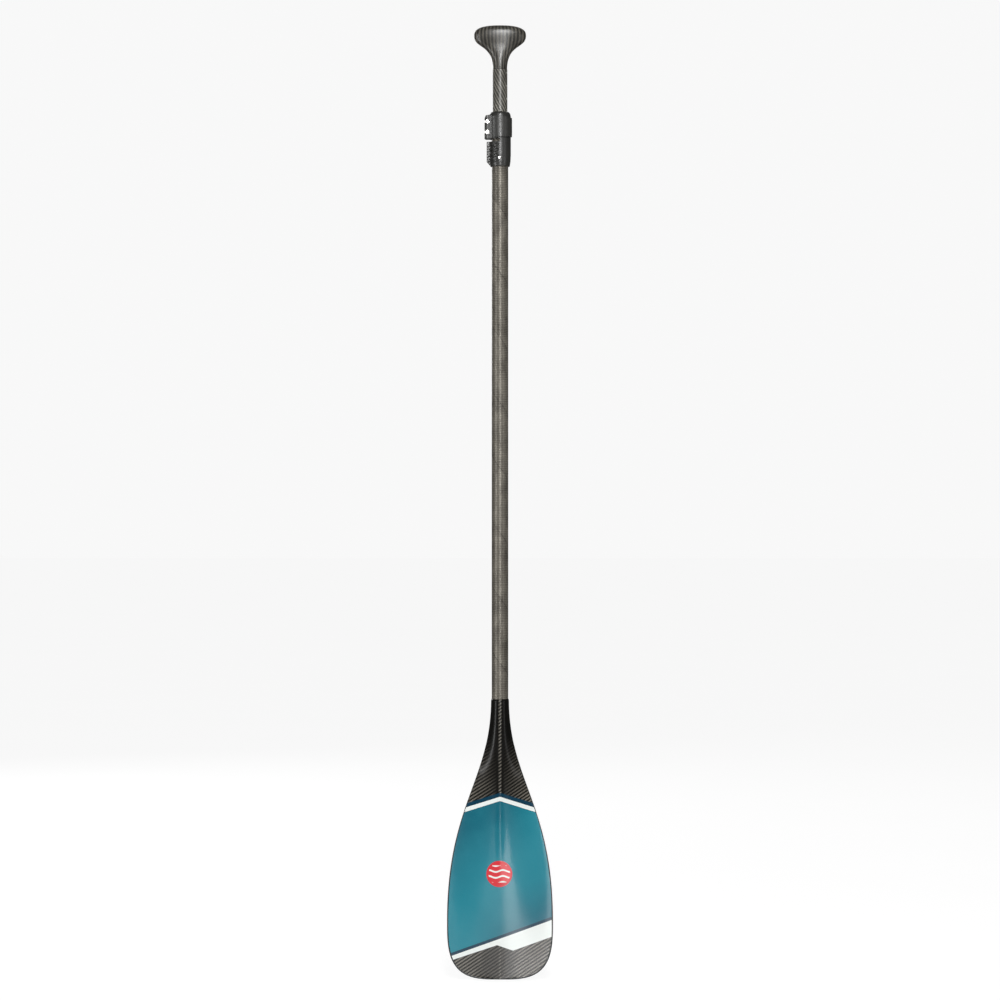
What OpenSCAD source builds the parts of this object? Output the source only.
// Adjustable single blade paddle: blade, main shaft, lever clamp, extension and palm grip.
// +Z runs up the shaft from blade to grip, +X is the right of the blade's face, -Y is in
// front of it. The origin is on the shaft's axis, where the lower hand holds it.

/* [Blade] */
// Length of the blade, from the neck's rim to the tip
blade_len = 501; // [430:1:610]
// Width of the blade at its widest
blade_w = 191; // [150:1:235]
// Distance from the rim to the widest place
blade_widest = 395; // [340:1:420]
// Where the neck's sides begin to flare
flare_from = 148; // [120:1:170]
// Where the flare turns into the blade's side
flare_to = 190; // [175:1:230]
// Squareness of the blade's lower end
end_power = 3.3; // [2:0.1:4]
// Forward lean of the blade from the shaft
lean_deg = 9; // [0:1:12]
// Distance over which the lean bends in
lean_run = 120; // [80:1:180]
// Thickness at the middle of the blade
mid_t = 13; // [9:0.5:18]
// Distance from the rim to where the spine has come down to that thickness
spine_run = 290; // [240:1:320]
// Thickness of the blade's middle at the tip
tip_t = 5; // [4.4:0.1:8]
// Thickness of the blade's edge
edge_t = 3.6; // [3:0.1:4.2]
// Thickness of each skin
skin_t = 1; // [0.8:0.1:1.3]
// Width of the edge rail
rail_w = 3; // [2:0.1:5]

/* [Shaft] */
// Outer diameter of the main shaft
shaft_od = 30; // [25:0.5:36]
// Wall of the main shaft
shaft_wall = 1.3; // [1:0.1:2]
// Length of main shaft that shows between blade and clamp
shaft_show = 967; // [700:1:1200]
// Depth of main shaft inside the blade's neck
socket_len = 68; // [50:1:75]
// Height of the origin above the blade's neck rim
hand_height = 420; // [300:1:520]
// Length of the foam plug in the lower end
bung_len = 30; // [15:1:45]

/* [Extension] */
// Gap between the main shaft and the tube inside it
slide_gap = 0.3; // [0.3:0.05:0.5]
// Running clearance of the parts that guide the tube
run_gap = 0.08; // [0.03:0.01:0.1]
// Wall of the extension tube
ext_wall = 1.5; // [1.1:0.1:2.2]
// Length of the extension tube
ext_len = 597; // [480:1:640]
// Length of tube that shows between clamp and grip
ext_out = 77; // [20:1:200]
// Depth of the plug and of the spigot in the tube
plug_len = 26; // [18:1:40]

/* [Clamp] */
// Height of the clamp
clamp_h = 99; // [92:1:120]
// Wall of the clamp's collar outside the shaft
clamp_wall = 4.7; // [4:0.1:6]
// Height of the slot that frees the split half
slot_z = 47; // [44:0.5:52]
// Height of the split bush
bush_len = 26; // [20:1:34]
// Lever plate thickness
lever_t = 3.2; // [2.4:0.1:4]
// Radius of the barrel that the lever turns on
barrel_r = 4.2; // [4:0.1:4.3]
// Radius of the lever's cam, which the barrel lies in
cam_r = 5.2; // [5.1:0.1:5.8]
// Radius of the clamp's bolts
bolt_r = 2; // [1.5:0.1:2.2]

/* [Grip] */
// Width of the grip
grip_w = 94.6; // [75:0.5:115]
// Height of the grip above the tube
grip_h = 80.5; // [74:0.5:100]
// Depth of the grip at its rolled top
grip_t = 34; // [28:0.5:42]
// Depth of the grip at its hollowed waist
waist_t = 24; // [20:0.5:26]
// Wall of the grip's shells
grip_skin = 1.5; // [1:0.1:2]

/* [Hidden] */
$fn = 96;

// Radii that follow from each other
shaft_r = shaft_od / 2;
shaft_bore_r = shaft_r - shaft_wall;
ext_r = shaft_bore_r - slide_gap;
ext_bore_r = ext_r - ext_wall;
glue_gap = 0.3;
glue_film = 0.06;
neck_r = shaft_r + glue_gap + skin_t;
collar_r = shaft_r + clamp_wall;

// Heights
rim_z = -hand_height;
clamp_z = rim_z + shaft_show;
clamp_top_z = clamp_z + clamp_h;
grip_z = clamp_top_z + ext_out;
ext_bottom_z = grip_z - ext_len;

// ---------- maths ----------
function mix(a, b, t) = a + (b - a) * t;
function ease(t) = let (c = min(1, max(0, t))) c * c * (3 - 2 * c);
function bezier(a, b, c, d, t) =
    pow(1 - t, 3) * a + 3 * pow(1 - t, 2) * t * b + 3 * (1 - t) * t * t * c + pow(t, 3) * d;

// Two triangles for the corners a, b, c, d of a face
function quad(a, b, c, d, flip) = flip ? [[a, c, b], [a, d, c]] : [[a, b, c], [a, c, d]];

// Faces of a slab between two layers of rows x cols points. A capped slab is closed over its
// last row on the outside and on the inside, as a bell is, in place of a wall between them.
function slab_faces(rows, cols, flip, capped = false) =
    let (
        n = rows * cols,
        top = n - cols,
        a = function (i, j) i * cols + j,
        b = function (i, j) n + i * cols + j
    )
    [
        for (i = [0 : rows - 2])
            for (j = [0 : cols - 2])
                each concat(
                    quad(a(i, j), a(i, j + 1), a(i + 1, j + 1), a(i + 1, j), flip),
                    quad(b(i, j), b(i, j + 1), b(i + 1, j + 1), b(i + 1, j), !flip)
                ),
        for (i = [0 : rows - 2])
            each concat(
                quad(a(i, 0), a(i + 1, 0), b(i + 1, 0), b(i, 0), flip),
                quad(a(i + 1, cols - 1), a(i, cols - 1), b(i, cols - 1), b(i + 1, cols - 1), flip)
            ),
        for (j = [0 : cols - 2])
            each quad(a(0, j + 1), a(0, j), b(0, j), b(0, j + 1), flip),
        each capped
            ? concat(
                fan_faces(top, cols, flip),
                fan_faces(n + top, cols, !flip),
                quad(top, top + cols - 1, n + top + cols - 1, n + top, flip)
            )
            : [
                for (j = [0 : cols - 2])
                    each quad(a(rows - 1, j), a(rows - 1, j + 1), b(rows - 1, j + 1),
                        b(rows - 1, j), flip)
            ]
    ];

// A flat face over count points that follow each other
function fan_faces(first, count, flip) = [
    for (j = [1 : count - 2])
        flip ? [first, first + j + 1, first + j] : [first, first + j, first + j + 1]
];

// Faces of a closed tube of rings, with a flat end on the first and the last ring
function sweep_faces(rings, sides, flip) =
    let (p = function (i, j) i * sides + j % sides, last = (rings - 1) * sides)
    [
        for (i = [0 : rings - 2])
            for (j = [0 : sides - 1])
                each quad(p(i, j), p(i, j + 1), p(i + 1, j + 1), p(i + 1, j), flip),
        each fan_faces(0, sides, !flip),
        each fan_faces(last, sides, flip)
    ];

// ---------- blade ----------
// Stations run from the rim (0) past the widest place (1) to the tip (just under 2)
flare_steps = 18;
end_steps = 9;
end_reach = 0.966;
blade_cols = 10;
blade_last = flare_steps + end_steps;
rail_from = 4;
edge_fade = 70;

function station(i) =
    i <= flare_steps ? i / flare_steps : 1 + (i - flare_steps) / end_steps * end_reach;

// Half width and distance from the rim at a station: a Bezier flare, then a superellipse
function outline(u, inset) =
    let (half = blade_w / 2 - inset, end_len = blade_len - blade_widest - inset, a = 90 * (u - 1))
    u <= 1
        ? bezier([neck_r, 0], [neck_r, flare_from], [half, flare_to], [half, blade_widest], u)
        : [
            half * pow(cos(a), 2 / end_power),
            blade_widest + end_len * pow(sin(a), 2 / end_power)
        ];

rail_s = outline(station(rail_from), 0)[1];

// Forward shift of the blade's middle plane: a parabola that runs on as a straight line
function lean(s) =
    let (t = max(0, s - socket_len), k = tan(lean_deg))
    t < lean_run ? -k * t * t / (2 * lean_run) : -k * (t - lean_run / 2);

// Half thickness on the spine
function spine(s) =
    s < spine_run
        ? mix(neck_r, mid_t / 2, ease((s - socket_len) / (spine_run - socket_len)))
        : mix(mid_t / 2, tip_t / 2, (s - spine_run) / (blade_len - spine_run));

// Share of the edge's thickness that is there at a distance from the rim
function edge_grow(s) = ease((s - rail_s) / edge_fade);

// Half thickness across the blade, v from -1 to 1: round at the neck, a soft ridge further down
function blade_y(v, s, deep) =
    let (
        edge = (edge_t / 2 - deep) * (deep > 0 ? max(0.05, edge_grow(s)) : edge_grow(s)),
        power = mix(0.5, 1.7, ease(s / 240))
    )
    edge + (spine(s) - deep - edge) * pow(max(0, 1 - v * v), power);

// One layer of the blade's points, side -1 in front and 1 behind, deep below the outside
function blade_layer(side, deep, first) = [
    for (i = [first : blade_last])
        for (j = [0 : blade_cols])
            let (
                v = -cos(180 * j / blade_cols),
                p = outline(station(i), rail_w),
                half = p[0] - deep * (1 - edge_grow(p[1]))
            )
            [v * half, lean(p[1]) + side * blade_y(v, p[1], deep), rim_z - p[1]]
];

core_from = min([
    for (i = [0 : blade_last])
        if (outline(station(i), rail_w)[1] > socket_len + 1) i
]);

module blade_skin(side) {
    polyhedron(
        concat(blade_layer(side, 0, 0), blade_layer(side, skin_t, 0)),
        slab_faces(blade_last + 1, blade_cols + 1, side > 0)
    );
}

module blade_front_skin() {
    color("teal") blade_skin(-1);
}

module blade_back_skin() {
    color("teal") blade_skin(1);
}

module blade_core() {
    color("wheat")
        polyhedron(
            concat(blade_layer(-1, skin_t, core_from), blade_layer(1, skin_t, core_from)),
            slab_faces(blade_last + 1 - core_from, blade_cols + 1, false)
        );
}

// Six points round the rail at a station, on the right (1) or left (-1) edge
function rail_ring(i, hand) =
    let (
        out = outline(station(i), 0),
        in = outline(station(i), rail_w),
        mid = mix(out, in, 0.35),
        h = edge_t / 2 * edge_grow(in[1]),
        at = function (p, y) [hand * p[0], lean(p[1]) + y, rim_z - p[1]]
    )
    [at(in, h), at(mid, h), at(out, 0.4 * h), at(out, -0.4 * h), at(mid, -h), at(in, -h)];

module blade_edge_rail() {
    rings = [
        for (i = [rail_from + 1 : blade_last]) rail_ring(i, 1),
        for (i = [blade_last : -1 : rail_from + 1]) rail_ring(i, -1)
    ];
    color("dimgray")
        polyhedron([for (ring = rings) each ring], sweep_faces(len(rings), 6, true));
}

// ---------- shaft ----------
bush_play = 0.3;
bush_r = shaft_r - 0.2;
lip_h = 2;
shaft_top_z = clamp_top_z - lip_h - bush_len - 2 * bush_play;

module ring_tube(outer_r, inner_r, low, high) {
    translate([0, 0, low])
        difference() {
            cylinder(h = high - low, r = outer_r);
            translate([0, 0, -1])
                cylinder(h = high - low + 2, r = inner_r);
        }
}

module main_shaft() {
    color("silver")
        ring_tube(shaft_r, shaft_bore_r, rim_z - socket_len, shaft_top_z);
}

module shaft_bung() {
    color("wheat")
        translate([0, 0, rim_z - socket_len])
            cylinder(h = bung_len, r = shaft_bore_r);
}

// ---------- clamp ----------
// Places are heights above the clamp's foot and distances from the shaft's axis
ear_y = 6.3;
split_w = 2;
split_end_x = -5;
far = 40;
slot_h = 4.7;
slot_end_x = -2;
ear_z = slot_z + slot_h / 2;
ear_top = clamp_h - 7;
plate_t = 1.5;
cam_gap = 0.3;
plate_end_x = -sqrt(collar_r * collar_r - ear_y * ear_y) - 0.2;
barrel_x = -(collar_r + 3.3);
barrel_y = -(ear_y + plate_t + cam_gap + cam_r);
lever_gap = 0.4;
lever_in_r = collar_r + lever_gap;
lever_out_r = lever_in_r + lever_t;
lever_low = slot_z + 1.2;
lever_high = clamp_h - 7.6;
lever_start = 217;
lever_end = 340;
barrel_low = lever_low + 5;
barrel_top = lever_high - 5;
ear_x = barrel_x - 3.3;
bolt_z = [clamp_h - 37.4, clamp_h - 18.6];
bolt_gap = 0.2;
head_r = bolt_r + 1.7;
head_h = 1.3;
head_seat = 0.6;
head_gap = 0.15;
plate_drop = 6;
rivet_x = -1.2;
rivet_r = 2;
rivet_z = 15;
rivet_gap = 0.2;
window_gap = 0.3;
shank_gap = 0.4;
washer_t = 0.8;
nut_h = 3.2;
nut_af = 7 * bolt_r / 2;
shoulder_h = 10;
foot_h = 9;
mouth_r = ext_r + slide_gap + 0.1;

module collar_outside() {
    rotate_extrude()
        polygon([
            [0, 0],
            [collar_r - 2, 0],
            [collar_r - 0.6, foot_h],
            [collar_r, foot_h + 12],
            for (a = [0 : 15 : 90])
                [
                    mix(ext_r + 1.3, collar_r, cos(a)),
                    clamp_h - shoulder_h * (1 - sin(a))
                ],
            [0, clamp_h]
        ]);
    boss_block([
        [barrel_x + 8, 1], [barrel_x + 6, 1], [barrel_x - 1.2, foot_h],
        [barrel_x - 1.2, slot_z], [barrel_x + 8, slot_z]
    ]);
    boss_block([
        [barrel_x + 8, slot_z], [ear_x, slot_z], [ear_x, ear_top - 3],
        [ear_x + 1.6, ear_top + 0.9], [barrel_x + 8, ear_top + 3]
    ]);
}

// A block on the ear side with the given front outline
module boss_block(points) {
    rotate([90, 0, 0])
        linear_extrude(2 * ear_y, center = true)
            polygon(points);
}

// The slot that frees the upper half, open to the ears and round at its end
module free_slot() {
    translate([ear_x - 1, -collar_r - 1, slot_z - slot_h / 2])
        cube([slot_end_x - ear_x + 1, 2 * collar_r + 2, slot_h]);
    translate([slot_end_x, 0, slot_z])
        rotate([90, 0, 0])
            cylinder(h = 2 * collar_r + 2, r = slot_h / 2, center = true, $fn = 32);
}

groove_w = 4.6;
groove_deep = 2;
groove_tilt = 17;
groove_pitch = 9.3;
groove_x = -5;

// Four oblique finger grooves, cut to an even depth round the collar's front
module grooves() {
    intersection() {
        union() {
            for (k = [0 : 3])
                translate([groove_x, 0, slot_z - 8.5 - k * groove_pitch])
                    rotate([0, -groove_tilt, 0])
                        rotate([90, 0, 0]) {
                            cylinder(h = collar_r + 2, r = groove_w / 2, $fn = 32);
                            translate([-far, -groove_w / 2, 0])
                                cube([far, groove_w, collar_r + 2]);
                        }
        }
        difference() {
            translate([-far, -collar_r - 2, 0])
                cube([far + 5, collar_r + 2, slot_z]);
            cylinder(h = slot_z, r = collar_r - groove_deep);
            translate([-far, -ear_y + groove_deep, 0])
                cube([2 * far, 2 * ear_y, slot_z]);
        }
    }
}

module clamp_collar() {
    color("dimgray")
        translate([0, 0, clamp_z])
            difference() {
                collar_outside();
                translate([0, 0, -1])
                    cylinder(h = shaft_top_z - clamp_z + 1, r = shaft_r + glue_film);
                translate([0, 0, shaft_top_z - clamp_z - 0.01])
                    cylinder(h = bush_len + 2 * bush_play + 0.01, r = bush_r + run_gap);
                cylinder(h = clamp_h + 1, r = mouth_r);
                free_slot();
                translate([-far, -split_w / 2, slot_z])
                    cube([far + split_end_x, split_w, clamp_h]);
                grooves();
                for (z = bolt_z)
                    translate([barrel_x, 0, z])
                        rotate([90, 0, 0])
                            cylinder(h = 3 * ear_y, r = bolt_r + bolt_gap, center = true);
                for (side = [-1, 1])
                    translate([rivet_x, side * (collar_r - 1), rivet_z])
                        rotate([90, 0, 0])
                            cylinder(h = 8, r = rivet_r, center = true);
            }
}

module collar_rivets() {
    color("silver")
        for (side = [-1, 1])
            translate([rivet_x, side * (shaft_r + rivet_gap), clamp_z + rivet_z])
                rotate([side * -90, 0, 0])
                    cylinder(h = clamp_wall - rivet_gap / 2, r = rivet_r);
}

module clamp_barrel() {
    color("lightsteelblue")
        translate([barrel_x, barrel_y, clamp_z])
            difference() {
                translate([0, 0, barrel_low])
                    cylinder(h = barrel_top - barrel_low, r = barrel_r);
                for (z = bolt_z)
                    translate([0, 0, z])
                        rotate([90, 0, 0]) {
                            cylinder(h = 3 * barrel_r, r = bolt_r, center = true);
                            translate([0, 0, head_seat])
                                cylinder(h = 2 * barrel_r, r = head_r + head_gap);
                        }
            }
}

module cam_plate() {
    color("silver")
        translate([0, 0, clamp_z])
            difference() {
                translate([ear_x + 0.5, -ear_y - plate_t, ear_z + 0.5])
                    cube([plate_end_x - ear_x - 0.5, plate_t, ear_top - plate_drop - ear_z]);
                for (z = bolt_z)
                    translate([barrel_x, 0, z])
                        rotate([90, 0, 0])
                            cylinder(h = 3 * ear_y, r = bolt_r + bolt_gap);
            }
}

module clamp_bolts() {
    head_y = barrel_y - head_seat;
    color("silver")
        for (z = bolt_z)
            translate([barrel_x, head_y, clamp_z + z])
                rotate([-90, 0, 0]) {
                    cylinder(h = ear_y - head_y + washer_t + nut_h + 1, r = bolt_r);
                    translate([0, 0, -head_h])
                        difference() {
                            cylinder(h = head_h, r = head_r);
                            translate([0, 0, -1])
                                cylinder(h = 1 + head_h * 0.7, r = bolt_r * 0.75, $fn = 6);
                        }
                }
}

module clamp_washers() {
    color("silver")
        for (z = bolt_z)
            translate([barrel_x, ear_y, clamp_z + z])
                rotate([-90, 0, 0])
                    difference() {
                        cylinder(h = washer_t, r = 2 * bolt_r);
                        translate([0, 0, -1])
                            cylinder(h = washer_t + 2, r = bolt_r);
                    }
}

module clamp_nuts() {
    color("silver")
        for (z = bolt_z)
            translate([barrel_x, ear_y + washer_t, clamp_z + z])
                rotate([-90, 0, 0])
                    difference() {
                        cylinder(h = nut_h, r = nut_af / 2 / cos(30), $fn = 6);
                        translate([0, 0, -1])
                            cylinder(h = nut_h + 2, r = bolt_r);
                    }
}

// Split bush that the collar squeezes on the extension tube
module clamp_bush() {
    color("white")
        difference() {
            ring_tube(
                bush_r, ext_r + run_gap,
                shaft_top_z + bush_play, shaft_top_z + bush_play + bush_len
            );
            translate([-collar_r, -split_w / 2, shaft_top_z - 1])
                cube([collar_r, split_w, bush_len + 4]);
        }
}

// Lever: a cam round the barrel and a plate that wraps the collar's front
end_play = 0.1;
lever_swing = 130;
sweep_steps = 5;

// Part of the plate's plan between two angles
module arc_band(inner_r, outer_r, from, to) {
    steps = 24;
    polygon([
        for (k = [0 : steps])
            let (a = mix(from, to, k / steps)) outer_r * [cos(a), sin(a)],
        for (k = [steps : -1 : 0])
            let (a = mix(from, to, k / steps)) inner_r * [cos(a), sin(a)]
    ]);
}

module clamp_lever() {
    color("gray")
        translate([0, 0, clamp_z])
            difference() {
                intersection() {
                    union() {
                        linear_extrude(clamp_h)
                            arc_band(lever_in_r, lever_out_r, lever_start, lever_end);
                        linear_extrude(clamp_h)
                            hull() {
                                translate([barrel_x, barrel_y])
                                    circle(cam_r);
                                arc_band(lever_in_r, lever_out_r, lever_start + 5, lever_start + 11);
                            }
                    }
                    // Front outline: full height at the cam, lower towards the tip
                    rotate([90, 0, 0])
                        linear_extrude(2 * lever_out_r + 20)
                            polygon([
                                [barrel_x - cam_r - 1, lever_low + 3],
                                [barrel_x - cam_r + 0.7, lever_low],
                                [barrel_x, lever_low],
                                [0, lever_low + 4.3], [lever_out_r, lever_low + 4.3],
                                [lever_out_r, lever_high - 4.5], [collar_r, lever_high - 3.8],
                                [lever_in_r / 3, lever_high - 1.2], [barrel_x, lever_high],
                                [barrel_x - cam_r / 2, lever_high],
                                [barrel_x - cam_r + 0.5, lever_high - 4.5],
                                [barrel_x - cam_r - 1, lever_high - 14]
                            ]);
                }
                translate([barrel_x, barrel_y, 0])
                    cylinder(h = barrel_top + end_play, r = barrel_r + run_gap);
                for (z = bolt_z)
                    translate([barrel_x, barrel_y, z]) {
                        rotate([90, 0, 0])
                            cylinder(h = 2 * cam_r, r = head_r + window_gap);
                        sweep_slot();
                    }
            }
}

// The way that a bolt's shank takes through the cam as the lever swings
module sweep_slot() {
    slot_w = 2 * (bolt_r + shank_gap);
    linear_extrude(slot_w, center = true)
        for (k = [0 : sweep_steps])
            rotate(90 + k * lever_swing / sweep_steps)
                translate([0, -slot_w / 2])
                    square([2 * cam_r, slot_w]);
}

tab_angle = 5;
tab_h = 28;
tab_inset = 0.6;

module lever_tab() {
    color("lightgray")
        translate([0, 0, clamp_z + (lever_low + lever_high) / 2 - tab_h / 2])
            linear_extrude(tab_h)
                arc_band(
                    lever_in_r + tab_inset, lever_out_r - tab_inset,
                    lever_end, lever_end + tab_angle
                );
}

// ---------- extension ----------
cap_flange = 8;
ring_h = 4;

module extension_tube() {
    color("darkgray")
        ring_tube(ext_r, ext_bore_r, ext_bottom_z, grip_z);
}

// Plug with a flange under the tube and a neck for the guide ring
module extension_cap() {
    color("black")
        translate([0, 0, ext_bottom_z])
            union() {
                cylinder(h = plug_len, r = ext_bore_r);
                translate([0, 0, -cap_flange])
                    difference() {
                        cylinder(h = cap_flange, r = ext_r);
                        translate([0, 0, (cap_flange - ring_h) / 2])
                            difference() {
                                cylinder(h = ring_h, r = ext_r + 1);
                                translate([0, 0, -1])
                                    cylinder(h = ring_h + 2, r = ext_r - 1);
                            }
                    }
            }
}

module guide_ring() {
    low = ext_bottom_z - (cap_flange + ring_h) / 2;
    color("white")
        ring_tube(shaft_bore_r - run_gap, ext_r - 1, low, low + ring_h);
}

// ---------- grip ----------
// Stations run from the joint (0) past the widest place (1) to the flat on top (just under 2)
grip_neck_r = ext_r - 0.5;
grip_neck_h = 8;
grip_widest = grip_h - 18.5;
grip_low_steps = 9;
grip_top_steps = 6;
grip_reach = 0.93;
grip_cols = 12;
grip_power = 2.6;
grip_last = grip_low_steps + grip_top_steps;

function grip_station(i) =
    i <= grip_low_steps ? i / grip_low_steps
        : 1 + (i - grip_low_steps) / grip_top_steps * grip_reach;

// Half width, height above the joint and half depth at a station, deep below the outside
function grip_at(u, deep) =
    let (
        half = grip_w / 2 - deep,
        neck = grip_neck_r - deep,
        a = 90 * (u - 1),
        low = bezier(
            [neck, 0], [neck, grip_neck_h + 40], [half, grip_widest - 24], [half, grip_widest], u
        ),
        top = [
            half * pow(cos(a), 2 / grip_power),
            grip_widest + (grip_h - grip_widest - deep) * pow(sin(a), 2 / grip_power)
        ],
        p = u <= 1 ? low : top,
        depth = p[1] < 40 ? mix(neck, waist_t / 2 - deep, ease(p[1] / 40))
            : mix(waist_t / 2 - deep, grip_t / 2 - deep, ease((p[1] - 40) / (grip_widest - 36)))
    )
    [p[0], p[1], u <= 1 ? depth : (grip_t / 2 - deep) * pow(cos(a), 2 / grip_power)];

// One layer of half the grip, its outline a superellipse that is round at the neck
function grip_layer(side, deep, first) = [
    for (i = [first : grip_last])
        for (j = [0 : grip_cols])
            let (
                p = grip_at(grip_station(i), deep),
                a = 180 * j / grip_cols,
                power = mix(1, 0.85, ease(p[1] / 50))
            )
            [
                -p[0] * sign(cos(a)) * pow(abs(cos(a)), power),
                side * p[2] * pow(sin(a), power),
                grip_z + p[1]
            ]
];

module grip_shell(side) {
    polyhedron(
        concat(grip_layer(side, 0, 0), grip_layer(side, grip_skin, 0)),
        slab_faces(grip_last + 1, grip_cols + 1, side > 0, true)
    );
}

module grip_front_shell() {
    color("dimgray") grip_shell(-1);
}

module grip_back_shell() {
    color("dimgray") grip_shell(1);
}

spigot_gap = 0.25;
foam_gap = 0.15;
spigot_r = min(grip_neck_r, waist_t / 2) - grip_skin - spigot_gap;
grip_core_from = 4;

// Foam that fills the shells above the spigot
module grip_core() {
    front = grip_layer(-1, grip_skin + foam_gap, grip_core_from);
    back = grip_layer(1, grip_skin + foam_gap, grip_core_from);
    rows = grip_last - grip_core_from + 1;
    cols = grip_cols + 1;
    rings = [
        for (i = [0 : rows - 1])
            each concat(
                [for (j = [0 : cols - 1]) front[i * cols + j]],
                [for (j = [cols - 2 : -1 : 1]) back[i * cols + j]]
            )
    ];
    color("wheat")
        polyhedron(rings, sweep_faces(rows, 2 * cols - 2, false));
}

// Spigot bonded into the tube below and the grip's neck above
module grip_spigot() {
    neck_top = grip_at(grip_station(grip_core_from), grip_skin)[1] - foam_gap;
    color("gray")
        translate([0, 0, grip_z])
            difference() {
                union() {
                    translate([0, 0, -plug_len])
                        cylinder(h = plug_len, r = ext_bore_r);
                    cylinder(h = neck_top, r = spigot_r);
                }
                translate([0, 0, -plug_len - 1])
                    cylinder(h = plug_len + neck_top - 3, r = min(spigot_r, ext_bore_r) - 2.5);
            }
}

blade_front_skin();
blade_back_skin();
blade_core();
blade_edge_rail();
main_shaft();
shaft_bung();
clamp_collar();
clamp_barrel();
clamp_bolts();
clamp_washers();
clamp_nuts();
cam_plate();
collar_rivets();
clamp_bush();
clamp_lever();
lever_tab();
extension_tube();
extension_cap();
guide_ring();
grip_front_shell();
grip_back_shell();
grip_core();
grip_spigot();
